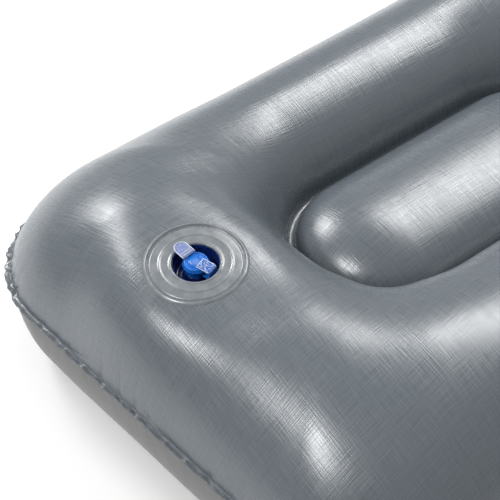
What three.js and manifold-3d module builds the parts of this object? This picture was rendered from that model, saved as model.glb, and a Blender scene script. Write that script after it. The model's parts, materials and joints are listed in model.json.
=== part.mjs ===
// Inflatable camp pillow: two sheets of film welded round their edge and along one long island, which stands
// up as a raised tube inside a ring bolster, with a push-in plug valve near one end.
// Millimetres, +Z up. The origin is on the ground, under the middle of the outline.
import * as THREE from 'three';
import Module from 'manifold-3d';

// Outline of the inflated pillow, at the seam
const LENGTH = 425;
const WIDTH = 297;
const CORNER_RADIUS = 57;
const LONG_SIDE_PULL_IN = 1.7;
const SEAM_HEIGHT = 41.3;

// Film and welds
const FILM = 0.5;
const WELD_GAP = 0.3;
const FLANGE = 3;
const ISLAND_WELD_WIDTH = 3;

// Island tube, with its middle line moved towards the back
const ISLAND_RADIUS = 43.6;
const ISLAND_HALF_LENGTH = 95.8;
const ISLAND_Y = 23;
const ISLAND_CREST = 22.5;

// Ring bolster: round on top and fuller below, each up to a limit of rise, and slacker towards the corners
const RISE_POWER = 4;
const TOP_LIMIT = 66;
const TOP_CORNER_SLACK = 0.39;
const BOTTOM_LIMIT = 43;
const BOTTOM_FULLNESS = 1.38;
const BOTTOM_CORNER_SLACK = 0.95;

// Mesh steps of one sheet
const CAP_STEPS = 24;
const SIDE_STEPS = 6;
const TUBE_RINGS = 3;
const BOLSTER_RINGS = 10;
const BISECTION_STEPS = 40;
const FLAT_RISE = 1e-6;

// Valve: the ring lies in the film, and everything else is held by the folded skirt
const VALVE_X = -163.4;
const VALVE_Y = 27.9;
const VALVE_LEAN = THREE.MathUtils.degToRad(6.5);
const VALVE_LEAN_TOWARDS = new THREE.Vector2(-0.87, -0.5).normalize();
const VALVE_FLAT_RADIUS = 25;
const VALVE_BLEND_RADIUS = 55;
const ROUND_STEPS = 36;
const GAP = 0.3;
const CUT_DEPTH = 40;
const RING_OUTER_RADIUS = 23.5;
const RING_INNER_RADIUS = 11.5;
const RING_THICKNESS = 1.2;
const RIB_HEIGHT = 0.4;
const RIB_RADII = [13.2, 17.2, 20.6, 22.6];
const RIB_HALF_WIDTH = 0.6;
const SKIRT_THICKNESS = 0.7;
const SKIRT_FLOOR = -9;
const SKIRT_FOLD_RADIUS = 1.4;
const SKIRT_TAPER = 0.8;
const SKIRT_STEM_TOP = -4.6;
const STEM_BORE_RADIUS = 3.8;
const STEM_RADIUS = 4.8;
const STEM_TOP = -1.5;
const STEM_BOTTOM = -16;
const STEM_LIP_RADIUS = 5.8;
const STEM_LIP_THICKNESS = 1;
const FLAP_RADIUS = 4.6;
const FLAP_THICKNESS = 0.5;
const CAP_RADIUS = 6.1;
const CAP_TOP = 0.6;
const CAP_DISH = 0.5;
const CAP_EDGE = 0.4;
const CAP_RIM_WIDTH = 1.2;
const STOPPER_TOP_RADIUS = 3.5;
const STOPPER_BOTTOM_RADIUS = 2.8;
const STOPPER_BOTTOM = -4.7;
const PLUG_TURN = THREE.MathUtils.degToRad(2);
const STRAP_WIDTH = 5.6;
const STRAP_THICKNESS = 0.8;
const STRAP_TOP = 0.2;
const STRAP_FOOT = -2;
const STRAP_REACH = 8.6;
const STRAP_CHAMFER = 0.6;
const LUG_TOP = -2.9;
const LUG_REACH = 7.6;
const TAB_WIDTH = 8;
const TAB_START = 4.6;
const TAB_END = 14.2;
const TAB_THICKNESS = 0.7;
const TAB_CURVE_STEPS = 12;

const { Manifold, Mesh: ManifoldMesh } = await loadManifold();

async function loadManifold() {
  const wasm = await Module();
  wasm.setup();
  return wasm;
}

// Geometry helpers

function signedVolume(points, triangles) {
  let volume = 0;
  for (const [a, b, c] of triangles) {
    volume += points[a].dot(new THREE.Vector3().crossVectors(points[b], points[c])) / 6;
  }
  return volume;
}

// A closed solid from points and triangles: joins equal points, drops flat triangles and faces them outwards.
function closedSolid(points, triangles) {
  const indexOf = new Map();
  const kept = [];
  const joined = points.map((point) => {
    const key = [point.x, point.y, point.z].map((value) => Math.round(value * 1e4)).join();
    if (!indexOf.has(key)) {
      indexOf.set(key, kept.length);
      kept.push(point);
    }
    return indexOf.get(key);
  });
  let faces = triangles.map((triangle) => triangle.map((corner) => joined[corner]));
  faces = faces.filter(([a, b, c]) => a !== b && b !== c && c !== a);
  if (signedVolume(kept, faces) < 0) {
    faces = faces.map(([a, b, c]) => [a, c, b]);
  }
  const geometry = new THREE.BufferGeometry();
  const numbers = kept.flatMap((point) => [point.x, point.y, point.z]);
  geometry.setAttribute('position', new THREE.Float32BufferAttribute(numbers, 3));
  geometry.setIndex(faces.flat());
  return geometry;
}

function closeGeometry(geometry) {
  const position = geometry.getAttribute('position');
  const points = [];
  for (let i = 0; i < position.count; i += 1) {
    points.push(new THREE.Vector3().fromBufferAttribute(position, i));
  }
  const order = geometry.index ? [...geometry.index.array] : points.map((_, i) => i);
  const triangles = [];
  for (let i = 0; i < order.length; i += 3) {
    triangles.push([order[i], order[i + 1], order[i + 2]]);
  }
  return closedSolid(points, triangles);
}

function toManifold(geometry) {
  return new Manifold(new ManifoldMesh({
    numProp: 3,
    vertProperties: new Float32Array(geometry.getAttribute('position').array),
    triVerts: new Uint32Array(geometry.index.array),
  }));
}

function fromManifold(solid) {
  const mesh = solid.getMesh();
  const geometry = new THREE.BufferGeometry();
  geometry.setAttribute('position', new THREE.BufferAttribute(mesh.vertProperties, 3));
  geometry.setIndex(new THREE.BufferAttribute(mesh.triVerts, 1));
  return geometry;
}

// A solid of revolution about Z, from a closed profile of [radius, height] pairs.
function turned(profile) {
  const outline = [...profile, profile[0]].map(([radius, height]) => new THREE.Vector2(radius, height));
  return closeGeometry(new THREE.LatheGeometry(outline, ROUND_STEPS).rotateX(Math.PI / 2));
}

// A cylinder along Z, centred on the origin.
function upright(radius, height) {
  return closeGeometry(new THREE.CylinderGeometry(radius, radius, height, ROUND_STEPS).rotateX(Math.PI / 2));
}

// A plate seen from the side in the YZ plane and drawn out along X to a width, centred on X = 0.
function sidePlate(outline, width) {
  const shape = new THREE.Shape(outline.map(([y, z]) => new THREE.Vector2(y, z)));
  const geometry = new THREE.ExtrudeGeometry(shape, { depth: width, bevelEnabled: false });
  geometry.translate(0, 0, -width / 2);
  geometry.rotateY(Math.PI / 2);
  geometry.rotateX(Math.PI / 2);
  return closeGeometry(geometry);
}

// Pillow shape

// Distance outside the outline, which is negative inside it.
function outlineDistance(x, y) {
  const straight = LENGTH / 2 - CORNER_RADIUS;
  const halfWidth = WIDTH / 2 - LONG_SIDE_PULL_IN * Math.max(0, 1 - (x / straight) ** 2);
  const beyondX = Math.abs(x) - straight;
  const beyondY = Math.abs(y) - halfWidth + CORNER_RADIUS;
  const outside = Math.hypot(Math.max(beyondX, 0), Math.max(beyondY, 0));
  return outside + Math.min(Math.max(beyondX, beyondY), 0) - CORNER_RADIUS;
}

function distanceToSeam(start, direction) {
  let inside = 0;
  let outside = LENGTH;
  for (let step = 0; step < BISECTION_STEPS; step += 1) {
    const middle = (inside + outside) / 2;
    const point = start.clone().addScaledVector(direction, middle);
    if (outlineDistance(point.x, point.y) < 0) {
      inside = middle;
    } else {
      outside = middle;
    }
  }
  return inside;
}

// Rays that leave the island's middle line square to its edge, all the way round.
function islandRays() {
  const halfMiddle = ISLAND_HALF_LENGTH - ISLAND_RADIUS;
  const rays = [];
  for (const side of [1, -1]) {
    for (let i = 0; i < SIDE_STEPS; i += 1) {
      const x = side * halfMiddle * (1 - (2 * i) / SIDE_STEPS);
      rays.push({ start: new THREE.Vector2(x, ISLAND_Y), angle: (side * Math.PI) / 2 });
    }
    for (let i = 0; i < CAP_STEPS; i += 1) {
      const angle = (side * Math.PI) / 2 + (Math.PI * i) / CAP_STEPS;
      rays.push({ start: new THREE.Vector2(-side * halfMiddle, ISLAND_Y), angle });
    }
  }
  for (const ray of rays) {
    ray.direction = new THREE.Vector2(Math.cos(ray.angle), Math.sin(ray.angle));
    ray.seam = distanceToSeam(ray.start, ray.direction);
  }
  return rays;
}

function limitedRise(rise, limit) {
  return rise / (1 + (rise / limit) ** RISE_POWER) ** (1 / RISE_POWER);
}

// Share of the rise that is left at a share of the way out, where the film is slack in a corner.
function slackness(angle, share, cornerSlack) {
  return Math.sqrt(1 - cornerSlack * share * Math.sin(2 * angle) ** 4);
}

// Rise of the top over the weld plane at a share of the way from the island's weld to the seam.
function topRise(span, angle, share) {
  const half = span / 2;
  const crest = limitedRise(half, TOP_LIMIT);
  const radius = (half ** 2 + crest ** 2) / (2 * crest);
  const arc = Math.sqrt(radius ** 2 - (half * (1 - 2 * share)) ** 2) - radius + crest;
  return arc * slackness(angle, share, TOP_CORNER_SLACK);
}

// The same for the bottom, which hangs below the weld plane.
function bottomRise(span, angle, share) {
  const round = BOTTOM_FULLNESS * span * Math.sqrt(share * (1 - share));
  return limitedRise(round * slackness(angle, share, BOTTOM_CORNER_SLACK), BOTTOM_LIMIT);
}

// Places along one ray: how far out, and how high the film stands over the weld plane.
function raySection(ray, riseAt) {
  const weldInside = ISLAND_RADIUS - ISLAND_WELD_WIDTH / 2;
  const weldOutside = ISLAND_RADIUS + ISLAND_WELD_WIDTH / 2;
  const span = ray.seam - weldOutside;
  const section = [];
  for (let i = 0; i <= TUBE_RINGS; i += 1) {
    const turn = (Math.PI / 2) * (i / TUBE_RINGS);
    section.push({ out: weldInside * Math.sin(turn), rise: ISLAND_CREST * Math.cos(turn) });
  }
  for (let i = 0; i <= BOLSTER_RINGS; i += 1) {
    const share = (1 - Math.cos(Math.PI * (i / BOLSTER_RINGS))) / 2;
    section.push({ out: weldOutside + span * share, rise: riseAt(span, ray.angle, share) });
  }
  section.push({ out: ray.seam + FLANGE, rise: 0 });
  return section;
}

function smoothStep(value) {
  const t = THREE.MathUtils.clamp(value, 0, 1);
  return t * t * (3 - 2 * t);
}

const valveHeight = (() => {
  const start = new THREE.Vector2(ISLAND_RADIUS - ISLAND_HALF_LENGTH, ISLAND_Y);
  const towards = new THREE.Vector2(VALVE_X, VALVE_Y).sub(start);
  const direction = towards.clone().normalize();
  const weldOutside = ISLAND_RADIUS + ISLAND_WELD_WIDTH / 2;
  const span = distanceToSeam(start, direction) - weldOutside;
  const share = (towards.length() - weldOutside) / span;
  const rise = topRise(span, Math.atan2(direction.y, direction.x), share);
  return SEAM_HEIGHT + WELD_GAP / 2 + FILM + rise;
})();

// Height of the leaning flat that the valve is welded to.
function valvePlane(x, y) {
  const towards = (x - VALVE_X) * VALVE_LEAN_TOWARDS.x + (y - VALVE_Y) * VALVE_LEAN_TOWARDS.y;
  return valveHeight - Math.tan(VALVE_LEAN) * towards;
}

function topHeight(x, y, rise) {
  const domed = SEAM_HEIGHT + WELD_GAP / 2 + FILM + rise;
  const away = Math.hypot(x - VALVE_X, y - VALVE_Y);
  const blend = smoothStep((away - VALVE_FLAT_RADIUS) / (VALVE_BLEND_RADIUS - VALVE_FLAT_RADIUS));
  return THREE.MathUtils.lerp(valvePlane(x, y), domed, blend);
}

// The underside is a fuller dome turned over, pressed flat where it meets the ground.
function bottomHeight(x, y, rise) {
  return Math.max(SEAM_HEIGHT - WELD_GAP / 2 - FILM - rise, 0);
}

// One sheet of film, with its outer face at heightAt and its inner face a film's thickness inside.
function filmSheet(riseAt, heightAt, inwards) {
  const rays = islandRays();
  const outer = [];
  const flat = [];
  for (const ray of rays) {
    for (const { out, rise } of raySection(ray, riseAt)) {
      const place = ray.start.clone().addScaledVector(ray.direction, out);
      outer.push(new THREE.Vector3(place.x, place.y, heightAt(place.x, place.y, rise)));
      flat.push(rise < FLAT_RISE);
    }
  }
  const rings = outer.length / rays.length;
  const faces = [];
  for (let k = 0; k < rays.length; k += 1) {
    const next = (k + 1) % rays.length;
    for (let j = 0; j + 1 < rings; j += 1) {
      const corners = [k * rings + j, k * rings + j + 1, next * rings + j + 1, next * rings + j];
      faces.push([corners[0], corners[1], corners[2]], [corners[0], corners[2], corners[3]]);
    }
  }
  const normals = skinNormals(outer, faces);
  const inner = outer.map((point, i) => (flat[i]
    ? new THREE.Vector3(point.x, point.y, point.z + inwards * FILM)
    : point.clone().addScaledVector(normals[i], inwards * FILM)));
  const count = outer.length;
  const triangles = [...faces, ...faces.map(([a, b, c]) => [a + count, c + count, b + count])];
  for (let k = 0; k < rays.length; k += 1) {
    const edge = k * rings + rings - 1;
    const nextEdge = ((k + 1) % rays.length) * rings + rings - 1;
    triangles.push([edge, edge + count, nextEdge + count], [edge, nextEdge + count, nextEdge]);
  }
  return closedSolid([...outer, ...inner], triangles);
}

// Upward unit normals of an open skin, equal for points that share a place.
function skinNormals(points, faces) {
  const sums = new Map();
  const keyOf = (point) => `${Math.round(point.x * 1e3)},${Math.round(point.y * 1e3)}`;
  for (const [a, b, c] of faces) {
    const edge = new THREE.Vector3().subVectors(points[b], points[a]);
    const normal = edge.cross(new THREE.Vector3().subVectors(points[c], points[a]));
    for (const corner of [a, b, c]) {
      const key = keyOf(points[corner]);
      sums.set(key, (sums.get(key) ?? new THREE.Vector3()).add(normal));
    }
  }
  return points.map((point) => {
    const normal = sums.get(keyOf(point)).clone().normalize();
    return normal.z < 0 ? normal.negate() : normal;
  });
}

// Valve pieces, in the valve's own frame: the film's face is Z = 0 and +Z points out of the pillow.

function valveRing() {
  const profile = [[RING_INNER_RADIUS, 0]];
  for (const radius of RIB_RADII) {
    profile.push([radius - RIB_HALF_WIDTH, 0], [radius, RIB_HEIGHT], [radius + RIB_HALF_WIDTH, 0]);
  }
  profile.push([RING_OUTER_RADIUS, 0]);
  profile.push([RING_OUTER_RADIUS, -RING_THICKNESS]);
  profile.push([RING_INNER_RADIUS, -RING_THICKNESS]);
  return turned(profile);
}

// The skirt folds down from the ring and back up to the stem, so the stem can be pushed in and pulled out.
function valveSkirt() {
  const rimRadius = RING_INNER_RADIUS - GAP;
  const stemSide = STEM_RADIUS + GAP;
  const fold = SKIRT_FLOOR + SKIRT_THICKNESS;
  const outerWall = [
    [rimRadius, -GAP],
    [rimRadius - SKIRT_TAPER, SKIRT_FLOOR + SKIRT_FOLD_RADIUS],
    [rimRadius - SKIRT_TAPER - SKIRT_FOLD_RADIUS, SKIRT_FLOOR],
    [stemSide + SKIRT_FOLD_RADIUS, SKIRT_FLOOR],
    [stemSide, SKIRT_FLOOR + SKIRT_FOLD_RADIUS],
    [stemSide, SKIRT_STEM_TOP],
  ];
  const innerWall = [
    [stemSide + SKIRT_THICKNESS, SKIRT_STEM_TOP],
    [stemSide + SKIRT_THICKNESS, fold + SKIRT_FOLD_RADIUS / 2],
    [stemSide + SKIRT_THICKNESS + SKIRT_FOLD_RADIUS / 2, fold],
    [rimRadius - SKIRT_TAPER - SKIRT_THICKNESS - SKIRT_FOLD_RADIUS / 2, fold],
    [rimRadius - SKIRT_TAPER - SKIRT_THICKNESS, fold + SKIRT_FOLD_RADIUS / 2],
    [rimRadius - SKIRT_THICKNESS, -GAP],
  ];
  return turned([...outerWall, ...innerWall]);
}

// The stem is a short tube with a lip at its foot and a lug at its side that the plug's strap folds back to.
function valveStem() {
  const tube = turned([
    [STEM_BORE_RADIUS, STEM_BOTTOM],
    [STEM_LIP_RADIUS, STEM_BOTTOM],
    [STEM_LIP_RADIUS, STEM_BOTTOM + STEM_LIP_THICKNESS],
    [STEM_RADIUS, STEM_BOTTOM + 2 * STEM_LIP_THICKNESS],
    [STEM_RADIUS, STEM_TOP],
    [STEM_BORE_RADIUS, STEM_TOP],
  ]);
  const lugStart = (STEM_BORE_RADIUS + STEM_RADIUS) / 2;
  const lug = new THREE.BoxGeometry(STRAP_WIDTH, LUG_REACH - lugStart, STRAP_THICKNESS);
  lug.translate(0, -(LUG_REACH + lugStart) / 2, LUG_TOP - STRAP_THICKNESS / 2);
  const joined = toManifold(tube).add(toManifold(closeGeometry(lug)));
  return fromManifold(joined.subtract(toManifold(upright(STEM_BORE_RADIUS, CUT_DEPTH))));
}

function checkFlap() {
  const top = STEM_BOTTOM - GAP;
  return upright(FLAP_RADIUS, FLAP_THICKNESS).translate(0, 0, top - FLAP_THICKNESS / 2);
}

// The cap is a dished disc over the stem's mouth, with a tapered stopper in the bore.
function plugCap() {
  const underside = STEM_TOP + GAP;
  return turned([
    [0, STOPPER_BOTTOM],
    [STOPPER_BOTTOM_RADIUS, STOPPER_BOTTOM],
    [STOPPER_TOP_RADIUS, underside],
    [CAP_RADIUS, underside],
    [CAP_RADIUS, CAP_TOP - CAP_EDGE],
    [CAP_RADIUS - CAP_EDGE, CAP_TOP],
    [CAP_RADIUS - CAP_RIM_WIDTH, CAP_TOP],
    [CAP_RADIUS - CAP_RIM_WIDTH - 2 * CAP_DISH, CAP_TOP - CAP_DISH],
    [0, CAP_TOP - CAP_DISH],
  ]);
}

// The strap leaves the cap's edge and folds down towards the stem's lug.
function plugStrap() {
  const near = -(CAP_RADIUS + GAP);
  const inside = -STRAP_REACH + STRAP_THICKNESS;
  const underside = STRAP_TOP - STRAP_THICKNESS;
  const outline = [
    [near, STRAP_TOP],
    [-STRAP_REACH + STRAP_CHAMFER, STRAP_TOP],
    [-STRAP_REACH, STRAP_TOP - STRAP_CHAMFER],
    [-STRAP_REACH, STRAP_FOOT],
    [inside, STRAP_FOOT],
    [inside, underside],
    [near, underside],
  ];
  return sidePlate(outline, STRAP_WIDTH);
}

// A flat finger tab with a round end, lying over the rim of the pocket.
function pullTab() {
  const half = TAB_WIDTH / 2;
  const shape = new THREE.Shape();
  shape.moveTo(-half, TAB_START);
  shape.lineTo(half, TAB_START);
  shape.lineTo(half, TAB_END - half);
  shape.absarc(0, TAB_END - half, half, 0, Math.PI, false);
  const plate = new THREE.ExtrudeGeometry(shape, {
    depth: TAB_THICKNESS,
    bevelEnabled: false,
    curveSegments: TAB_CURVE_STEPS,
  });
  return closeGeometry(plate.translate(0, 0, CAP_TOP + GAP));
}

// Assembly

function material(color, roughness, transparent = false) {
  const opacity = transparent ? 0.8 : 1;
  return new THREE.MeshStandardMaterial({ color, roughness, metalness: 0, transparent, opacity });
}

function named(name, geometry, finish) {
  geometry.computeVertexNormals();
  const mesh = new THREE.Mesh(geometry, finish);
  mesh.name = name;
  return mesh;
}

const pillow = new THREE.Group();

const leaning = new THREE.Vector3(
  VALVE_LEAN_TOWARDS.x * Math.sin(VALVE_LEAN),
  VALVE_LEAN_TOWARDS.y * Math.sin(VALVE_LEAN),
  Math.cos(VALVE_LEAN),
);
const valve = new THREE.Group();
valve.position.set(VALVE_X, VALVE_Y, valveHeight);
valve.quaternion.setFromUnitVectors(new THREE.Vector3(0, 0, 1), leaning);
valve.updateMatrixWorld(true);

// The top sheet has a round hole that the valve's ring is welded into.
function topSheet() {
  const film = filmSheet(topRise, topHeight, -1);
  const radius = RING_OUTER_RADIUS + GAP;
  const hole = upright(radius, CUT_DEPTH).applyMatrix4(valve.matrixWorld);
  return fromManifold(toManifold(film).subtract(toManifold(hole)));
}

pillow.add(named('top_sheet', topSheet(), material(0x747b81, 0.38)));
pillow.add(named('bottom_sheet', filmSheet(bottomRise, bottomHeight, 1), material(0x777975, 0.9)));

valve.add(named('valve_ring', valveRing(), material(0x8d9397, 0.35)));
valve.add(named('valve_skirt', valveSkirt(), material(0x0d2a86, 0.3, true)));

const turnedParts = new THREE.Group();
turnedParts.rotation.z = PLUG_TURN;
turnedParts.add(named('valve_stem', valveStem(), material(0x1c5fcf, 0.3, true)));
turnedParts.add(named('check_flap', checkFlap(), material(0x2a6fd8, 0.4, true)));
turnedParts.add(named('plug_cap', plugCap(), material(0x2277dd, 0.25, true)));
turnedParts.add(named('plug_strap', plugStrap(), material(0x2a6fd8, 0.3, true)));
turnedParts.add(named('pull_tab', pullTab(), material(0xb0bcec, 0.3, true)));
valve.add(turnedParts);
pillow.add(valve);

export default pillow;
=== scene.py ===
"""The looks of the inflatable camp pillow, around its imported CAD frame. Lengths are in metres."""

import json
import math

import bmesh
import bpy
import numpy as np
from mathutils import Matrix, Vector


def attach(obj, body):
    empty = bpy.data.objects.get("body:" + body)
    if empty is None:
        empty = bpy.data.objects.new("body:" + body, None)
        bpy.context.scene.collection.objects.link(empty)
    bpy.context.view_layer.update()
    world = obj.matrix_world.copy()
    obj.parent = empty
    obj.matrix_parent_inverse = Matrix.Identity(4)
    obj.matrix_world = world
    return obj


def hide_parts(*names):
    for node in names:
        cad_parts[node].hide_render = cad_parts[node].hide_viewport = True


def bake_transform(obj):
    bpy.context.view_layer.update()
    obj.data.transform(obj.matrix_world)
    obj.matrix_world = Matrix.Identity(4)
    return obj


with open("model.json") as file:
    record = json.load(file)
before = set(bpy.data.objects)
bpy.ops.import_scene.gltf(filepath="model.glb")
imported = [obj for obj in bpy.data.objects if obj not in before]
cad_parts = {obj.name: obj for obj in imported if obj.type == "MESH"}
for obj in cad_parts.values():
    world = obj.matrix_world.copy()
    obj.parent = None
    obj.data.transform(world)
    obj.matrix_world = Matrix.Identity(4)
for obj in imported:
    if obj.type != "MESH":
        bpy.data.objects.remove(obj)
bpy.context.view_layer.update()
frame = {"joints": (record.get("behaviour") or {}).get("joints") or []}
MM = 0.001

# The pillow's shape, as the CAD model has it
LENGTH = 425 * MM
WIDTH = 297 * MM
CORNER_RADIUS = 57 * MM
LONG_SIDE_PULL_IN = 1.7 * MM
SEAM_HEIGHT = 41.3 * MM
SHEET_OFFSET = 0.65 * MM
ISLAND_RADIUS = 43.6 * MM
ISLAND_HALF_LENGTH = 95.8 * MM
ISLAND_Y = 23 * MM
ISLAND_CREST = 22.5 * MM
ISLAND_WELD_WIDTH = 3 * MM
RISE_POWER = 4
TOP_LIMIT = 66 * MM
TOP_CORNER_SLACK = 0.39
BOTTOM_LIMIT = 43 * MM
BOTTOM_FULLNESS = 1.38
BOTTOM_CORNER_SLACK = 0.95
VALVE_FLAT_RADIUS = 13 * MM
VALVE_BLEND_RADIUS = 64 * MM
VALVE_HOLE_RADIUS = 17 * MM
HINGE_BACK = 7.6 * MM
HINGE_DROP = 1.6 * MM

# Mesh of one sheet: rays from the island's middle line, and rings along each ray
SIDE_RAYS = 144
CAP_RAYS = 672
TUBE_RINGS = 14
BOLSTER_RINGS = 28
SEAM_RINGS = 8
SEAM_ZONE = 0.12

# Edge weld: a flange outside the seam, whose sheet wraps round its edge, with small folds
FLANGE = 3 * MM
FLANGE_HALF_THICKNESS = 0.32 * MM
FLANGE_STEPS = (0.12, 0.3, 0.5, 0.7, 0.88, 1.0)
FLANGE_WRAP_STEPS = (1.02, 1.0, 0.7)
FLANGE_WRAP_HEIGHTS = (0.5, 0.12, 0.12)
PUCKER_IN_FILM = 0.55
PUCKER_SEED = 11
SIDE_PUCKER_GAP = 12 * MM
CORNER_PUCKER_GAP = 6.5 * MM
PUCKER_HALF_WIDTH = 1.5 * MM
SIDE_PUCKER_DEPTH = 0.7 * MM
CORNER_PUCKER_DEPTH = 1.3 * MM
PUCKER_REACH = 6 * MM
GROUND_EASE = 1.5 * MM

# Short simulation of the air pushing the upper film out
SIM_RAY_STEP = 8
SIM_FRAMES = 20
SIM_PRESSURE = 4.0
SIM_START_GAP = 0.6 * MM
SIM_LARGEST_MOVE = 0.7 * MM
SIM_HELD_RADIUS = 30 * MM
SIM_FREE_RADIUS = 95 * MM
SIM_STIFFNESS = 40

# Plug of the valve, in millimetres
STRAP_SWING = math.radians(14)
STRAP_HALF_WIDTH = 3.0
STRAP_HALF_THICKNESS = 0.25
STRAP_NEAR_END = -2.45
STRAP_FOLD = -9.6
TAB_START = 4.4
TAB_HALF_WIDTH = 3.4
TAB_STRAIGHT_END = 9.6
TAB_HALF_THICKNESS = 0.3
TAB_HEIGHT = 1.75
TAB_SLOPE = 0.06


# Frame facts

def joint(name):
    return next(j for j in frame["joints"] if j["name"] == name)


VALVE_UP = Vector(joint("valve_slide")["axis"]).normalized()
VALVE_ACROSS = Vector(joint("plug_hinge")["axis"]).normalized()
VALVE_ALONG = VALVE_UP.cross(VALVE_ACROSS).normalized()
VALVE_ORIGIN = Vector(joint("plug_hinge")["pos_m"]) + VALVE_ALONG * HINGE_BACK + VALVE_UP * HINGE_DROP
VALVE_TURN = Matrix((VALVE_ACROSS, VALVE_ALONG, VALVE_UP)).transposed()
VALVE_FRAME = Matrix.Translation(VALVE_ORIGIN) @ VALVE_TURN.to_4x4()


# Mesh helpers

def smooth_step(value):
    t = np.clip(value, 0, 1)
    return t * t * (3 - 2 * t)


def shade_smooth(mesh):
    mesh.polygons.foreach_set("use_smooth", [True] * len(mesh.polygons))


def new_piece(name, points, faces, material):
    mesh = bpy.data.meshes.new(name)
    mesh.from_pydata([tuple(p) for p in points], [], [tuple(f) for f in faces])
    mesh.validate()
    piece = bpy.data.objects.new(name, mesh)
    bpy.context.scene.collection.objects.link(piece)
    mesh.materials.append(material)
    shade_smooth(mesh)
    return piece


# Pillow shape

def outline_distance(x, y):
    """Distance outside the pillow's seam, which is negative inside it."""
    straight = LENGTH / 2 - CORNER_RADIUS
    half_width = WIDTH / 2 - LONG_SIDE_PULL_IN * np.maximum(0, 1 - (x / straight) ** 2)
    beyond_x = np.abs(x) - straight
    beyond_y = np.abs(y) - half_width + CORNER_RADIUS
    outside = np.hypot(np.maximum(beyond_x, 0), np.maximum(beyond_y, 0))
    return outside + np.minimum(np.maximum(beyond_x, beyond_y), 0) - CORNER_RADIUS


def island_rays(side_rays, cap_rays):
    """Starts and angles of rays from the island's middle line, square to its edge, all the way round."""
    half_middle = ISLAND_HALF_LENGTH - ISLAND_RADIUS
    starts = []
    angles = []
    for side in (1, -1):
        for i in range(side_rays):
            starts.append((side * half_middle * (1 - 2 * i / side_rays), ISLAND_Y))
            angles.append(side * math.pi / 2)
        for i in range(cap_rays):
            starts.append((-side * half_middle, ISLAND_Y))
            angles.append(side * math.pi / 2 + math.pi * i / cap_rays)
    return np.array(starts), np.array(angles)


def distance_to_seam(starts, directions):
    inside = np.zeros(len(starts))
    outside = np.full(len(starts), LENGTH)
    for _ in range(40):
        middle = (inside + outside) / 2
        at = starts + directions * middle[:, None]
        within = outline_distance(at[:, 0], at[:, 1]) < 0
        inside = np.where(within, middle, inside)
        outside = np.where(within, outside, middle)
    return inside


def limited_rise(rise, limit):
    return rise / (1 + (rise / limit) ** RISE_POWER) ** (1 / RISE_POWER)


def slackness(angle, share, corner_slack):
    """Share of the rise that is left at a share of the way out, where the film is slack in a corner."""
    return np.sqrt(1 - corner_slack * share * np.sin(2 * angle) ** 4)


def top_rise(span, angle, share):
    """Rise of the top over the weld plane at a share of the way from the island's weld to the seam."""
    half = span / 2
    crest = limited_rise(half, TOP_LIMIT)
    radius = (half ** 2 + crest ** 2) / (2 * crest)
    arc = np.sqrt(radius ** 2 - (half * (1 - 2 * share)) ** 2) - radius + crest
    return arc * slackness(angle, share, TOP_CORNER_SLACK)


def bottom_rise(span, angle, share):
    """The same for the bottom, which hangs below the weld plane."""
    circle = BOTTOM_FULLNESS * span * np.sqrt(share * (1 - share))
    return limited_rise(circle * slackness(angle, share, BOTTOM_CORNER_SLACK), BOTTOM_LIMIT)


def from_valve(x, y):
    """Level distance from the valve's middle."""
    return np.hypot(x - VALVE_ORIGIN.x, y - VALVE_ORIGIN.y)


def valve_plane(x, y):
    """Height of the plane that the valve's ring lies on."""
    slope = VALVE_UP.x * (x - VALVE_ORIGIN.x) + VALVE_UP.y * (y - VALVE_ORIGIN.y)
    return VALVE_ORIGIN.z - slope / VALVE_UP.z


def dome_height(x, y, rise):
    """Height of the top sheet, which leans to the valve's plane near it."""
    domed = SEAM_HEIGHT + SHEET_OFFSET + rise
    blend = smooth_step((from_valve(x, y) - VALVE_FLAT_RADIUS) / (VALVE_BLEND_RADIUS - VALVE_FLAT_RADIUS))
    return valve_plane(x, y) * (1 - blend) + domed * blend


def film_bend(x, y):
    """How far the film stands above the valve's plane, near the valve."""
    start = np.array([ISLAND_RADIUS - ISLAND_HALF_LENGTH, ISLAND_Y])
    towards = np.stack([x, y], axis=1) - start
    length = np.linalg.norm(towards, axis=1)
    directions = towards / length[:, None]
    weld_outside = ISLAND_RADIUS + ISLAND_WELD_WIDTH / 2
    span = distance_to_seam(np.broadcast_to(start, directions.shape), directions) - weld_outside
    rise = top_rise(span, np.arctan2(directions[:, 1], directions[:, 0]), (length - weld_outside) / span)
    return dome_height(x, y, rise) - valve_plane(x, y)


def belly_height(rise):
    """Height of the bottom sheet, pressed flat where it lies on the ground."""
    free = SEAM_HEIGHT - SHEET_OFFSET - rise
    return (free + np.sqrt(free ** 2 + GROUND_EASE ** 2)) / 2


def seam_puckers(seam):
    """Pull-in, lift and dimple of the small folds at each seam point, in shares of the full depth."""
    steps = np.linalg.norm(np.roll(seam, -1, axis=0) - seam, axis=1)
    place = np.concatenate([[0], np.cumsum(steps)[:-1]])
    total = steps.sum()
    tangent = np.roll(seam, -1, axis=0) - np.roll(seam, 1, axis=0)
    tangent /= np.linalg.norm(tangent, axis=1)[:, None]
    corner = smooth_step(2 * np.abs(tangent[:, 0] * tangent[:, 1]))
    rng = np.random.default_rng(PUCKER_SEED)
    pull = np.zeros(len(seam))
    lift = np.zeros(len(seam))
    at = 0.0
    while at < total - CORNER_PUCKER_GAP / 2:
        share = np.interp(at, place, corner)
        depth = SIDE_PUCKER_DEPTH + (CORNER_PUCKER_DEPTH - SIDE_PUCKER_DEPTH) * share
        depth *= rng.uniform(0.45, 1.1)
        width = PUCKER_HALF_WIDTH * rng.uniform(0.8, 1.4)
        turn = rng.choice((-1, 1))
        away = (place - at + total / 2) % total - total / 2
        pull = np.maximum(pull, depth * np.exp(-(away / width) ** 2))
        lift += depth * turn * (away / width) * np.exp(-(away / (1.6 * width)) ** 2)
        gap = SIDE_PUCKER_GAP + (CORNER_PUCKER_GAP - SIDE_PUCKER_GAP) * share
        at += gap * rng.uniform(0.6, 1.45)
    return pull, lift


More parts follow.
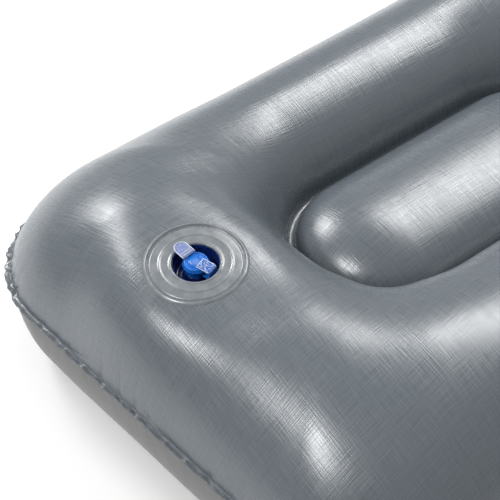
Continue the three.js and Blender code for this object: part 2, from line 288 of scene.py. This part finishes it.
def closed_grid(rays, rings):
    """Faces between the points of a grid of rays by rings, which closes on itself."""
    grid = np.arange(rays * rings).reshape(rays, rings)
    following = np.roll(grid, -1, axis=0)
    return np.stack([grid[:, :-1], grid[:, 1:], following[:, 1:], following[:, :-1]], axis=2).reshape(-1, 4)


def under_pressure(points, held):
    """Where the points of a sheet are after the air has pushed on it, with the held ones pinned."""
    rays, rings = points.shape[:2]
    piece = new_piece("film_under_pressure", points.reshape(-1, 3), closed_grid(rays, rings), None)
    pins = piece.vertex_groups.new(name="pins")
    pins.add([int(i) for i in np.flatnonzero(held.ravel())], 1.0, "REPLACE")
    cloth = piece.modifiers.new("Cloth", "CLOTH")
    cloth.settings.vertex_group_mass = pins.name
    cloth.settings.use_pressure = True
    cloth.settings.uniform_pressure_force = SIM_PRESSURE
    cloth.settings.effector_weights.gravity = 0
    cloth.settings.tension_stiffness = SIM_STIFFNESS
    cloth.settings.compression_stiffness = SIM_STIFFNESS
    for frame_number in range(1, SIM_FRAMES + 1):
        bpy.context.scene.frame_set(frame_number)
    swollen = piece.evaluated_get(bpy.context.evaluated_depsgraph_get())
    result = np.array([tuple(v.co) for v in swollen.data.vertices]).reshape(points.shape)
    bpy.data.objects.remove(piece)
    bpy.context.scene.frame_set(1)
    return result


class Sheet:
    """One film sheet as a grid of rays by rings: its points, and their places in the film laid flat."""

    def __init__(self, upward):
        self.starts, self.angles = island_rays(SIDE_RAYS, CAP_RAYS)
        self.directions = np.stack([np.cos(self.angles), np.sin(self.angles)], axis=1)
        self.reach = distance_to_seam(self.starts, self.directions)
        self.upward = upward
        self.out, self.rise, self.flange = self.sections()
        x = self.starts[:, 0, None] + self.directions[:, 0, None] * self.out
        y = self.starts[:, 1, None] + self.directions[:, 1, None] * self.out
        z = dome_height(x, y, self.rise) if upward else belly_height(self.rise)
        self.points = np.stack([x, y, z], axis=2)
        if upward:
            self.inflate()
        self.settle_flange()
        self.add_puckers()

    def sections(self):
        """For each ring: distance out along the rays, rise over the weld plane, share across the flange."""
        weld_inside = ISLAND_RADIUS - ISLAND_WELD_WIDTH / 2
        weld_outside = ISLAND_RADIUS + ISLAND_WELD_WIDTH / 2
        span = self.reach - weld_outside
        tube_turn = np.linspace(0, math.pi / 2, TUBE_RINGS + 1)
        open_zone = np.linspace(0, 1 - SEAM_ZONE, BOLSTER_RINGS + 1)
        seam_zone = np.linspace(1 - SEAM_ZONE, 1, SEAM_RINGS + 1)[1:]
        bolster_turn = math.pi * np.concatenate([open_zone, seam_zone])
        ones = np.ones(len(span))
        outs = [np.outer(ones, weld_inside * np.sin(tube_turn))]
        rises = [np.outer(ones, ISLAND_CREST * np.cos(tube_turn))]
        share = (1 - np.cos(bolster_turn)) / 2
        outs.append(weld_outside + np.outer(span, share))
        rise_at = top_rise if self.upward else bottom_rise
        rises.append(rise_at(span[:, None], self.angles[:, None], share[None, :]))
        edge = np.array(FLANGE_STEPS + FLANGE_WRAP_STEPS)
        outs.append(self.reach[:, None] + FLANGE * edge)
        rises.append(np.zeros((len(span), len(edge))))
        flange = np.concatenate([np.zeros(TUBE_RINGS + 1 + len(bolster_turn)), edge])
        return np.concatenate(outs, axis=1), np.concatenate(rises, axis=1), flange

    def inflate(self):
        """Lets the air push the bolster's film out from a slightly smaller shape."""
        first = TUBE_RINGS + 1
        last = first + BOLSTER_RINGS + SEAM_RINGS + 1
        film = self.points[:, first:last]
        arch = np.sin(np.linspace(0, math.pi, last - first))
        away = from_valve(film[:, :, 0], film[:, :, 1])
        free = smooth_step((away - SIM_HELD_RADIUS) / (SIM_FREE_RADIUS - SIM_HELD_RADIUS)) * (arch > 0.01)
        smaller = film - self.normals()[:, first:last] * (SIM_START_GAP * arch * free)[:, :, None]
        swollen = under_pressure(smaller[::SIM_RAY_STEP], free[::SIM_RAY_STEP] == 0)
        move = swollen - film[::SIM_RAY_STEP]
        size = np.linalg.norm(move, axis=2)[:, :, None]
        move /= np.sqrt(1 + (size / SIM_LARGEST_MOVE) ** 2)
        waves = np.fft.rfft(move, axis=0)
        between = np.fft.irfft(waves, len(film), axis=0) * SIM_RAY_STEP
        self.points[:, first:last] += between * free[:, :, None]

    def settle_flange(self):
        """Thins the sheet to its edge outside the seam, and wraps that edge round."""
        side = 1 if self.upward else -1
        first = int(np.argmax(self.flange > 0))
        for ring in range(first, len(self.flange)):
            share = self.flange[ring]
            thickness = SHEET_OFFSET + (FLANGE_HALF_THICKNESS - SHEET_OFFSET) * min(1, share * 3)
            self.points[:, ring, 2] = SEAM_HEIGHT + side * thickness
        for ring, share in enumerate(FLANGE_WRAP_HEIGHTS, -len(FLANGE_WRAP_HEIGHTS)):
            self.points[:, ring, 2] = SEAM_HEIGHT + side * FLANGE_HALF_THICKNESS * share

    def normals(self):
        """Unit normals of the grid, pointing out of the pillow."""
        round_way = np.roll(self.points, -1, axis=0) - np.roll(self.points, 1, axis=0)
        out_way = np.gradient(self.points, axis=1)
        normal = np.cross(out_way, round_way)
        normal /= np.maximum(np.linalg.norm(normal, axis=2), 1e-12)[:, :, None]
        return normal if self.upward else -normal

    def flat_out(self):
        """Distance of each ring from the middle line, along the film."""
        steps = np.linalg.norm(np.diff(self.points, axis=1), axis=2)
        return np.concatenate([np.zeros((len(steps), 1)), np.cumsum(steps, axis=1)], axis=1)

    def add_puckers(self):
        """Pulls the seam in at each small fold, dimples the film beside it and waves the flange."""
        first = int(np.argmax(self.flange > 0))
        self.film = self.flat_out()
        seam = self.points[:, first - 1, :2]
        pull, lift = seam_puckers(seam)
        inside = self.film[:, first - 1, None] - self.film[:, :first]
        dimple = PUCKER_IN_FILM * pull[:, None] * np.exp(-inside / PUCKER_REACH)
        normal = self.normals()
        self.points[:, :first] -= normal[:, :first] * dimple[:, :, None]
        across = np.minimum(self.flange[first:], 1)
        shift = (PUCKER_IN_FILM + (1 - PUCKER_IN_FILM) * across)[None, :] * pull[:, None]
        self.points[:, first:, :2] -= self.directions[:, None, :] * shift[:, :, None]
        self.points[:, first:, 2] += (across ** 0.7)[None, :] * lift[:, None]

    def build(self, name, material, hole=0.0):
        """The sheet as a piece. Faces nearer than hole to the valve's axis are left out."""
        rays, rings = self.out.shape
        faces = closed_grid(rays, rings)
        if not self.upward:
            faces = faces[:, ::-1]
        points = self.points.reshape(-1, 3)
        if hole:
            away = from_valve(points[:, 0], points[:, 1])
            faces = faces[away[faces].min(axis=1) > hole]
        flat = self.starts[:, None, :] + self.directions[:, None, :] * self.film[:, :, None]
        flat = np.concatenate([flat, np.zeros((rays, rings, 1))], axis=2).reshape(-1, 3)
        piece = new_piece(name, points, faces, material)
        attribute = piece.data.attributes.new("film_flat", "FLOAT_VECTOR", "POINT")
        attribute.data.foreach_set("vector", flat.astype(np.float32).ravel())
        work = bmesh.new()
        work.from_mesh(piece.data)
        bmesh.ops.delete(work, geom=[v for v in work.verts if not v.link_faces], context="VERTS")
        bmesh.ops.remove_doubles(work, verts=work.verts, dist=0.01 * MM)
        work.to_mesh(piece.data)
        work.free()
        shade_smooth(piece.data)
        return piece


# Valve shapes, in the valve's own frame and in millimetres

def turned(profile, steps=120):
    """Points and faces of a solid of revolution from a closed profile of (radius, height) pairs."""
    count = len(profile)
    points = []
    for step in range(steps):
        angle = 2 * math.pi * step / steps
        x = math.cos(angle)
        y = math.sin(angle)
        points += [(radius * x, radius * y, height) for radius, height in profile]
    faces = []
    for step in range(steps):
        following = (step + 1) % steps
        for i in range(count):
            j = (i + 1) % count
            faces.append((step * count + i, following * count + i, following * count + j, step * count + j))
    return points, faces


def corner_curve(here, before, after, cut, steps):
    """Points of a small curve in place of a corner. The sides next to it are vectors from the corner."""
    start = here + before.normalized() * cut
    end = here + after.normalized() * cut
    curve = []
    for k in range(steps + 1):
        t = k / steps
        curve.append(tuple(start * (1 - t) ** 2 + here * 2 * t * (1 - t) + end * t ** 2))
    return curve


def rounded(profile, radius, steps=4):
    """The profile with each corner replaced by a small arc. Corners on the axis stay."""
    result = []
    count = len(profile)
    for i, corner in enumerate(profile):
        here = Vector(corner)
        before = Vector(profile[i - 1]) - here
        after = Vector(profile[(i + 1) % count]) - here
        if here.x < 1e-6 or before.length < 1e-6 or after.length < 1e-6:
            result.append(tuple(here))
            continue
        cut = min(radius, before.length * 0.45, after.length * 0.45)
        result += corner_curve(here, before, after, cut, steps)
    return result


def tube_faces(sections, steps):
    """Faces of a closed tube whose points are given as sections of the same number of steps."""
    last = (sections - 1) * steps
    faces = [tuple(range(steps)), tuple(range(last, last + steps))[::-1]]
    for i in range(0, last, steps):
        for k in range(steps):
            following = (k + 1) % steps
            faces.append((i + k, i + steps + k, i + steps + following, i + following))
    return faces


def strip(stations, squareness=0.4, steps=32):
    """Points and faces of a strip across X, from (y, z, half width, half thickness) along its middle."""
    points = []
    for i, (y, z, half_width, half_thickness) in enumerate(stations):
        before = stations[max(i - 1, 0)]
        after = stations[min(i + 1, len(stations) - 1)]
        along = Vector((after[0] - before[0], after[1] - before[1])).normalized()
        for k in range(steps):
            angle = 2 * math.pi * k / steps
            x = half_width * math.copysign(abs(math.cos(angle)) ** squareness, math.cos(angle))
            out = half_thickness * math.copysign(abs(math.sin(angle)) ** squareness, math.sin(angle))
            points.append((x, y - along.y * out, z + along.x * out))
    return points, tube_faces(len(stations), steps)


def rod(path, radius, steps=10):
    """Points and faces of a round rod along a path, with closed ends."""
    path = [Vector(p) for p in path]
    points = []
    for i, at in enumerate(path):
        along = (path[min(i + 1, len(path) - 1)] - path[max(i - 1, 0)]).normalized()
        side = along.cross(Vector((0.01, 0.02, 1))).normalized()
        over = side.cross(along)
        for k in range(steps):
            angle = 2 * math.pi * k / steps
            points.append(tuple(at + side * radius * math.cos(angle) + over * radius * math.sin(angle)))
    return points, tube_faces(len(path), steps)


def swung(shape, angle):
    """The shape turned about the valve's axis."""
    points, faces = shape
    turn = Matrix.Rotation(angle, 4, "Z")
    return [tuple(turn @ Vector(p)) for p in points], faces


def smooth_path(corners, radius, steps=6):
    """An open (y, z) path with its inner corners rounded."""
    path = [corners[0]]
    for before, here, after in zip(corners, corners[1:], corners[2:]):
        here = Vector(here)
        back = Vector(before) - here
        on = Vector(after) - here
        cut = min(radius, back.length * 0.49, on.length * 0.49)
        path += corner_curve(here, back, on, cut, steps)
    return path + [corners[-1]]


def valve_piece(name, shapes, material):
    """A piece of one or more shapes, put in place on the pillow."""
    points = []
    faces = []
    for shape_points, shape_faces in shapes:
        first = len(points)
        points += shape_points
        faces += [tuple(first + i for i in face) for face in shape_faces]
    place = VALVE_FRAME @ Matrix.Scale(MM, 4)
    piece = new_piece(name, [place @ Vector(p) for p in points], faces, material)
    work = bmesh.new()
    work.from_mesh(piece.data)
    bmesh.ops.remove_doubles(work, verts=work.verts, dist=0.002 * MM)
    bmesh.ops.recalc_face_normals(work, faces=work.faces)
    work.to_mesh(piece.data)
    work.free()
    attribute = piece.data.attributes.new("valve_place", "FLOAT_VECTOR", "POINT")
    back = place.inverted()
    attribute.data.foreach_set("vector", [value for v in piece.data.vertices for value in back @ v.co])
    shade_smooth(piece.data)
    return piece


# Materials

class Look:
    """A node material that is built one node at a time."""

    def __init__(self, name):
        self.material = bpy.data.materials.new(name)
        self.material.use_nodes = True
        self.tree = self.material.node_tree
        self.surface = self.tree.nodes["Principled BSDF"]

    def add(self, kind, inputs=None, **settings):
        """A new node. Inputs are given by name or number, as a socket to link or a value to set."""
        node = self.tree.nodes.new(kind)
        for key, value in settings.items():
            setattr(node, key, value)
        self.fill(node, inputs or {})
        return node

    def fill(self, node, inputs):
        for key, value in inputs.items():
            if isinstance(value, bpy.types.NodeSocket):
                self.tree.links.new(value, node.inputs[key])
            else:
                node.inputs[key].default_value = value

    def set(self, **inputs):
        """Sets or links inputs of the surface, which are named with _ for each space."""
        self.fill(self.surface, {key.replace("_", " "): value for key, value in inputs.items()})

    def noise(self, vector, scale, detail=2.0, roughness=0.5):
        inputs = {"Vector": vector, "Scale": scale, "Detail": detail, "Roughness": roughness}
        return self.add("ShaderNodeTexNoise", inputs).outputs["Fac"]

    def stretch(self, vector, scale):
        return self.add("ShaderNodeMapping", {"Vector": vector, "Scale": scale}).outputs["Vector"]

    def math(self, operation, first, second=0.0):
        return self.add("ShaderNodeMath", {0: first, 1: second}, operation=operation).outputs[0]

    def ramp(self, value, low, high, start=0.0, end=1.0):
        inputs = {"Value": value, "From Min": low, "From Max": high, "To Min": start, "To Max": end}
        return self.add("ShaderNodeMapRange", inputs).outputs["Result"]

    def mix(self, share, first, second):
        """Mix of two colours, which are the node's inputs 6 and 7. Its output 2 is the mixed colour."""
        return self.add("ShaderNodeMix", {0: share, 6: first, 7: second}, data_type="RGBA").outputs[2]

    def bump(self, height, distance, strength=1.0, normal=None):
        inputs = {"Height": height, "Distance": distance, "Strength": strength}
        if normal is not None:
            inputs["Normal"] = normal
        return self.add("ShaderNodeBump", inputs).outputs["Normal"]


FILM_DARK = (0.080, 0.095, 0.109, 1)
FILM_LIGHT = (0.095, 0.111, 0.127, 1)
FLOCK_DARK = (0.095, 0.098, 0.096, 1)
FLOCK_LIGHT = (0.135, 0.138, 0.133, 1)
RING_DARK = (0.130, 0.144, 0.155, 1)
RING_LIGHT = (0.168, 0.182, 0.194, 1)
NAVY_DARK = (0.003, 0.010, 0.06, 1)
NAVY_LIGHT = (0.005, 0.025, 0.16, 1)
BLUE_DARK = (0.0, 0.09, 0.42, 1)
BLUE_LIGHT = (0.001, 0.15, 0.60, 1)
BLUE_MIDDLE = (0.12, 0.24, 0.62, 1)
# Strap blue, and the lighter blue painted on its stipple as glints (painted highlight)
STIPPLE_DARK = (0.02, 0.11, 0.42, 1)
STIPPLE_PAINTED_GLINT = (0.24, 0.32, 0.56, 1)
# Pale colour of the raised edges on the strap and tab: painted highlight.
PAINTED_EDGE_HIGHLIGHT_DARK = (0.50, 0.55, 0.68, 1)
PAINTED_EDGE_HIGHLIGHT_LIGHT = (0.60, 0.65, 0.76, 1)
PALE_DARK = (0.20, 0.25, 0.47, 1)
PALE_LIGHT = (0.28, 0.34, 0.58, 1)
FLOOR_DARK = (0.9, 0.9, 0.9, 1)
FLOOR_LIGHT = (0.93, 0.93, 0.93, 1)
THREADS_PER_METRE = 1450
THREAD_LENGTHS_PER_METRE = 55


def embossed_film():
    """Satin film with a linen emboss: fine threads both ways, in the film laid flat."""
    look = Look("embossed_film")
    flat = look.add("ShaderNodeAttribute", attribute_name="film_flat").outputs["Vector"]
    along = look.noise(look.stretch(flat, (THREAD_LENGTHS_PER_METRE, THREADS_PER_METRE, 0)), 1.0, 1.0)
    across = look.noise(look.stretch(flat, (THREADS_PER_METRE, THREAD_LENGTHS_PER_METRE, 0)), 1.0, 1.0)
    threads = look.math("MULTIPLY", look.math("ADD", along, across), 0.5)
    patches = look.ramp(look.noise(flat, 30.0, 3.0), 0.35, 0.65)
    weave = look.math("MULTIPLY", threads, look.ramp(patches, 0, 1, 0.6, 1.0))
    tone = look.mix(look.ramp(threads, 0.38, 0.62), FILM_DARK, FILM_LIGHT)
    rough = look.ramp(threads, 0.38, 0.62, 0.24, 0.34)
    look.set(Base_Color=tone, Roughness=rough, Normal=look.bump(weave, 0.24 * MM, 0.8))
    look.set(Specular_IOR_Level=0.8)
    return look.material


def flocked_film():
    """Matte film with a short flock."""
    look = Look("flocked_film")
    flat = look.add("ShaderNodeAttribute", attribute_name="film_flat").outputs["Vector"]
    fibres = look.noise(flat, 1400.0, 2.0, 0.7)
    clouds = look.noise(flat, 90.0, 3.0)
    shade = look.math("ADD", look.math("MULTIPLY", fibres, 0.6), look.math("MULTIPLY", clouds, 0.4))
    tone = look.mix(look.ramp(shade, 0.35, 0.65), FLOCK_DARK, FLOCK_LIGHT)
    look.set(Base_Color=tone, Roughness=0.92, Sheen_Weight=0.25, Normal=look.bump(fibres, 0.08 * MM, 0.6))
    return look.material


def weld_ring():
    """Smooth pressed film, a little wavy."""
    look = Look("weld_ring")
    place = look.add("ShaderNodeAttribute", attribute_name="valve_place").outputs["Vector"]
    clouds = look.noise(place, 0.16, 3.0)
    grain = look.noise(place, 2.2, 2.0)
    waves = look.noise(place, 0.35, 2.0)
    tone = look.mix(look.ramp(clouds, 0.35, 0.65), RING_DARK, RING_LIGHT)
    look.set(Base_Color=tone, Roughness=look.ramp(clouds, 0.3, 0.7, 0.2, 0.3))
    rough = look.bump(grain, 0.02 * MM, 0.4)
    look.set(Normal=look.bump(waves, 0.12 * MM, 0.4, rough))
    look.set(Specular_IOR_Level=0.8)
    return look.material


def clear_pvc(name, dark, light, see_through, roughness, pale=None):
    """Translucent PVC. Where pale is given as (colour, radius), the middle of the piece is paler."""
    look = Look(name)
    place = look.add("ShaderNodeAttribute", attribute_name="valve_place").outputs["Vector"]
    clouds = look.noise(place, 0.42, 3.0)
    grain = look.noise(place, 2.6, 2.0)
    colour = look.mix(look.ramp(clouds, 0.35, 0.65), dark, light)
    if pale:
        flat = look.stretch(place, (1, 1, 0))
        away = look.add("ShaderNodeVectorMath", {0: flat}, operation="LENGTH").outputs["Value"]
        uneven = look.math("ADD", away, look.ramp(look.noise(place, 0.9, 2.0), 0.3, 0.7, -0.7, 0.7))
        colour = look.mix(look.ramp(uneven, pale[1] - 0.8, pale[1] + 0.8, 0.85, 0.0), colour, pale[0])
    look.set(Base_Color=colour)
    look.set(Roughness=look.ramp(clouds, 0.3, 0.7, roughness, roughness + 0.12))
    look.set(Normal=look.bump(grain, 0.05 * MM, 0.5))
    look.set(Transmission_Weight=see_through, IOR=1.5, Specular_IOR_Level=0.35)
    return look.material


def stippled_pvc_with_painted_glints(name, dark, light, roughness):
    """Translucent PVC with a pressed stipple on its upper side, and lighter spots painted there as glints:
    painted highlight.
    """
    look = Look(name)
    place = look.add("ShaderNodeAttribute", attribute_name="valve_place").outputs["Vector"]
    dots = look.noise(place, 1.0, 1.0)
    painted_glint_spots = look.ramp(dots, 0.48, 0.62)
    height = look.add("ShaderNodeSeparateXYZ", {"Vector": place}).outputs["Z"]
    on_top = look.ramp(height, 0.2, 0.8)
    # Painted highlight: lighter spots on the upper side stand in for the glints of the stipple.
    share = look.math("MULTIPLY", painted_glint_spots, on_top)
    look.set(Base_Color=look.mix(share, dark, light))
    look.set(Roughness=look.ramp(dots, 0.3, 0.7, roughness, roughness + 0.15))
    look.set(Normal=look.bump(look.math("MULTIPLY", dots, on_top), 0.8 * MM, 0.6))
    look.set(Transmission_Weight=0.2, IOR=1.5, Coat_Weight=0.5, Coat_Roughness=0.1)
    return look.material


def pale_floor():
    look = Look("pale_floor")
    place = look.add("ShaderNodeTexCoord").outputs["Object"]
    clouds = look.noise(place, 3.0, 2.0)
    look.set(Base_Color=look.mix(clouds, FLOOR_DARK, FLOOR_LIGHT), Roughness=0.9)
    return look.material


# Pieces

def fit_piece(piece, body, node):
    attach(piece, body)
    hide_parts(node)


def bend_piece(piece, node):
    """Like fit_piece, for a piece that lies between two bodies: its placement is baked into its points and
    it is attached to no body.
    """
    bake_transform(piece)
    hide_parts(node)


def make_sheets():
    top = Sheet(True).build("top_film", embossed_film(), hole=VALVE_HOLE_RADIUS)
    fit_piece(top, "bladder", "top_sheet")
    bottom = Sheet(False).build("bottom_film", flocked_film())
    fit_piece(bottom, "bladder", "bottom_sheet")


def make_weld_ring():
    """The ring with its ribs, which is bent with the film under it."""
    lip = [(11.1, -1.1), (11.1, 0.1), (11.5, 0.55), (12.1, 0.6), (12.9, 0.25)]
    inner_rib = [(16.1, 0.25), (16.9, 0.6), (17.6, 0.3)]
    rim = [(21.2, 0.3), (21.9, -0.25), (22.5, 0.0), (23.1, 0.9), (23.8, 0.6), (24.6, 0.0), (24.6, -0.5)]
    underside = [(23.0, -1.1)]
    section = rounded(lip + inner_rib + rim + underside, 0.35)
    ring = valve_piece("valve_weld_ring", [turned(section)], weld_ring())
    places = np.array([tuple(v.co) for v in ring.data.vertices])
    places[:, 2] += film_bend(places[:, 0], places[:, 1])
    ring.data.vertices.foreach_set("co", places.ravel())
    fit_piece(ring, "bladder", "valve_ring")


def make_skirt():
    """The pocket that turns over as the stem comes out, and its sleeve round the stem."""
    navy = clear_pvc("dark_blue_pvc", NAVY_DARK, NAVY_LIGHT, 0.1, 0.16)
    outside = [(11.05, -0.15), (10.4, -7.4), (9.3, -8.6), (6.7, -8.8)]
    inside = [(6.7, -8.1), (9.1, -8.0), (9.95, -7.2), (10.8, -0.1)]
    pocket = valve_piece("skirt_pocket", [turned(rounded(outside + inside, 0.5))], navy)
    bend_piece(pocket, "valve_skirt")
    inside = [(5.0, -4.5), (5.0, -7.9), (6.0, -8.8), (6.9, -8.75)]
    outside = [(6.9, -8.15), (6.1, -8.0), (5.6, -7.4), (5.6, -4.5)]
    sleeve = valve_piece("skirt_sleeve", [turned(rounded(inside + outside, 0.25))], navy)
    fit_piece(sleeve, "valve", "valve_skirt")


def make_stem(blue):
    tube = [(3.8, -16.0), (5.3, -16.0), (5.4, -15.4), (4.8, -14.8), (4.8, -2.1), (4.6, -1.6), (3.8, -1.6)]
    lug = strip([(y, -3.25, 2.7, 0.35) for y in (-4.3, -5.5, -6.5, -7.3)])
    shapes = [turned(rounded(tube, 0.25), 96), swung(lug, STRAP_SWING)]
    fit_piece(valve_piece("valve_stem_tube", shapes, blue), "valve", "valve_stem")


def make_flap(blue):
    disc = [(0.0, -17.1), (4.4, -17.1), (4.6, -16.8), (4.5, -16.35), (3.2, -16.35), (0.0, -16.45)]
    tongue = strip([(y, -16.75, 1.4, 0.2) for y in (3.6, 4.1, 4.4, 4.65)])
    flap = valve_piece("non_return_flap", [turned(rounded(disc, 0.2), 72), tongue], blue)
    fit_piece(flap, "flap", "check_flap")


def make_cap(blue):
    face = [(0.0, 1.0), (2.3, 1.0), (2.9, 1.2), (3.5, 0.95), (4.5, 0.9), (4.9, 1.35), (5.35, 1.42)]
    side = [(5.7, 1.1), (6.0, 0.2), (6.3, -0.1), (6.3, -0.5), (6.1, -0.9), (5.6, -1.2), (3.55, -1.2)]
    stopper = [(3.3, -2.6), (3.4, -3.0), (2.8, -4.7), (2.2, -4.9), (0.0, -4.9)]
    section = rounded(face + side + stopper, 0.22)
    cap = valve_piece("plug_cap_and_stopper", [turned(section, 96)], blue)
    fit_piece(cap, "plug", "plug_cap")


def make_strap(painted_edge_highlight):
    """The strap from the cap's face, over its edge and down to the lug, with a raised edge on its plate,
    coloured pale as painted highlight.
    """
    corners = [(-2.4, 1.55), (-9.2, 1.1), (STRAP_FOLD, -2.2), (-8.6, -3.1), (-7.2, -3.3)]
    path = smooth_path(corners, 0.9)
    plate_start, plate_end = (Vector(point) for point in path[:2])
    plate = [tuple(plate_start.lerp(plate_end, k / 10)) for k in range(10)]
    ribbon = strip([(y, z, STRAP_HALF_WIDTH, STRAP_HALF_THICKNESS) for y, z in plate + path[1:]])
    # The strap's stipple carries painted glints (painted highlight).
    look = stippled_pvc_with_painted_glints("stippled_blue_pvc_painted_glints", STIPPLE_DARK, STIPPLE_PAINTED_GLINT, 0.16)
    loop = valve_piece("plug_strap_loop", [swung(ribbon, STRAP_SWING)], look)

    near_end = [(x, STRAP_NEAR_END, 1.68) for x in (-STRAP_HALF_WIDTH, STRAP_HALF_WIDTH)]
    near_end.insert(1, (0.0, STRAP_NEAR_END + 0.05, 1.72))
    rods = [rod(near_end, 0.26)]
    for x in (0.05 - STRAP_HALF_WIDTH, STRAP_HALF_WIDTH - 0.05):
        side = [(x, y, 1.7 + 0.066 * (y + 2.5)) for y in np.linspace(-2.5, -8.8, 12)]
        rods.append(rod(side, 0.15))
    edges = valve_piece("plug_strap_edges", [swung(shape, STRAP_SWING) for shape in rods], painted_edge_highlight)
    for piece in (loop, edges):
        bend_piece(piece, "plug_strap")


def tab_height(y):
    return TAB_HEIGHT + TAB_SLOPE * (y - TAB_START)


def make_tab(painted_edge_highlight):
    """The finger tab: a thin plate with a round end, a raised border and two raised lines; the border and
    lines are coloured pale as painted highlight.
    """
    plan = [(y, TAB_HALF_WIDTH) for y in (TAB_START, 6.0, 8.0, TAB_STRAIGHT_END)]
    for k in range(1, 9):
        angle = k / 8.4 * math.pi / 2
        plan.append((TAB_STRAIGHT_END + TAB_HALF_WIDTH * math.sin(angle), TAB_HALF_WIDTH * math.cos(angle)))
    plate = strip([(y, tab_height(y), half_width, TAB_HALF_THICKNESS) for y, half_width in plan])
    pale = clear_pvc("pale_pvc", PALE_DARK, PALE_LIGHT, 0.3, 0.18)

    outline = [(-half_width, y, tab_height(y) + TAB_HALF_THICKNESS) for y, half_width in plan]
    outline += [(-x, y, z) for x, y, z in reversed(outline)]
    rods = [rod(outline, 0.28)]
    for y in (5.6, 6.9):
        z = tab_height(y) + TAB_HALF_THICKNESS + 0.02
        rods.append(rod([(-3.2, y, z), (3.2, y, z)], 0.22))
    for piece in (valve_piece("pull_tab_plate", [plate], pale), valve_piece("pull_tab_edges", rods, painted_edge_highlight)):
        fit_piece(piece, "plug", "pull_tab")


def make_valve():
    blue = clear_pvc("blue_pvc", BLUE_DARK, BLUE_LIGHT, 0.15, 0.22, (BLUE_MIDDLE, 1.9))
    make_weld_ring()
    make_skirt()
    make_stem(blue)
    make_flap(blue)
    make_cap(blue)
    # Pale raised edges of strap and tab: painted highlight.
    painted_edge_highlight = clear_pvc("pale_pvc_edge_painted_highlight", PAINTED_EDGE_HIGHLIGHT_DARK, PAINTED_EDGE_HIGHLIGHT_LIGHT, 0.15, 0.15)
    make_strap(painted_edge_highlight)
    make_tab(painted_edge_highlight)


# Studio

CAMERA_AZIMUTH = math.radians(-40.13)
CAMERA_ELEVATION = math.radians(43.67)
CAMERA_DISTANCE = 1.0
CAMERA_LENS = 159.1
AIM_RIGHT = 24.5 * MM
AIM_UP = 5.9 * MM
LIGHT_DISTANCE = 1.4
WORLD_STRENGTH = 0.5
FLOOR_HALF_SIZE = 6


def make_camera():
    camera = bpy.data.objects.new("camera", bpy.data.cameras.new("camera"))
    bpy.context.scene.collection.objects.link(camera)
    level = Vector((math.sin(CAMERA_AZIMUTH), -math.cos(CAMERA_AZIMUTH), 0))
    back = level * math.cos(CAMERA_ELEVATION) + Vector((0, 0, math.sin(CAMERA_ELEVATION)))
    turn = back.to_track_quat("Z", "Y")
    aim = VALVE_ORIGIN + turn @ Vector((AIM_RIGHT, AIM_UP, 0))
    camera.location = aim + back * CAMERA_DISTANCE
    camera.rotation_mode = "QUATERNION"
    camera.rotation_quaternion = turn
    camera.data.lens = CAMERA_LENS
    camera.data.sensor_width = 36
    camera.data.clip_start = 0.05
    camera.data.clip_end = 50
    bpy.context.scene.camera = camera


def soft_box(name, towards, size, power):
    """A rectangular light that shines on the middle of the pillow."""
    light = bpy.data.lights.new(name, "AREA")
    light.shape = "RECTANGLE"
    light.size, light.size_y = size
    light.energy = power
    box = bpy.data.objects.new(name, light)
    bpy.context.scene.collection.objects.link(box)
    towards = Vector(towards).normalized()
    box.location = towards * LIGHT_DISTANCE
    box.rotation_mode = "QUATERNION"
    box.rotation_quaternion = towards.to_track_quat("Z", "Y")
    box.visible_camera = False


def make_studio():
    soft_box("key_light", (0.55, 0.24, 0.79), (0.95, 0.34), 14.5)
    soft_box("left_light", (-0.65, 0.12, 0.75), (0.4, 0.32), 9)
    soft_box("back_light", (-0.12, 0.8, 0.59), (0.35, 0.35), 7)
    world = bpy.data.worlds.new("studio")
    world.use_nodes = True
    background = world.node_tree.nodes["Background"]
    background.inputs["Color"].default_value = (1, 1, 1, 1)
    background.inputs["Strength"].default_value = WORLD_STRENGTH
    bpy.context.scene.world = world
    bpy.context.scene.view_settings.view_transform = "Standard"
    half = FLOOR_HALF_SIZE
    corners = [(-half, -half, 0), (half, -half, 0), (half, half, 0), (-half, half, 0)]
    new_piece("floor", corners, [(0, 1, 2, 3)], pale_floor())


make_camera()
make_sheets()
make_valve()
make_studio()
